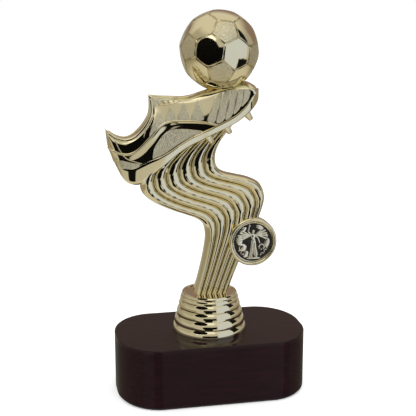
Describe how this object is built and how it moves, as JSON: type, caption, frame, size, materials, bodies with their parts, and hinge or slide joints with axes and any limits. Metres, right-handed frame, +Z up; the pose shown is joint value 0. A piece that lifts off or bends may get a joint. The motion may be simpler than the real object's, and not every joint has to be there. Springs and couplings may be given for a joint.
{
  "type": "figure trophy",
  "caption": "Football award: a boot balancing a ball on a ribbed swept column with a round medal, on a stepped collar and a rounded block base.",
  "frame": {"origin": "centre of the underside, on the felt's lower face", "axes": "+Z up, X along the base's long side, the front with the medal faces -Y"},
  "size_m": [0.122, 0.068, 0.234],
  "materials": {
    "gold_plastic": "vacuum metallised pale gold, mirror bright with matt stippled areas",
    "lacquered_wood": "dark rosewood high gloss lacquer",
    "felt": "black felt",
    "zinc_steel": "zinc plated",
    "silvered_medal": "embossed, polished high parts on a black ground",
    "foam_tape": "double sided foam tape"
  },
  "bodies": {
    "root": {"felt_pad": "felt", "base_block": "lacquered_wood", "base_washer": "zinc_steel", "base_nut": "zinc_steel", "tie_rod": "zinc_steel", "riser": "gold_plastic", "figure_nut": "zinc_steel", "figure_front_half": "gold_plastic", "figure_rear_half": "gold_plastic", "ball_front_half": "gold_plastic", "ball_rear_half": "gold_plastic", "medal_disc": "silvered_medal", "medal_pad": "foam_tape"}
  },
  "joints": []
}
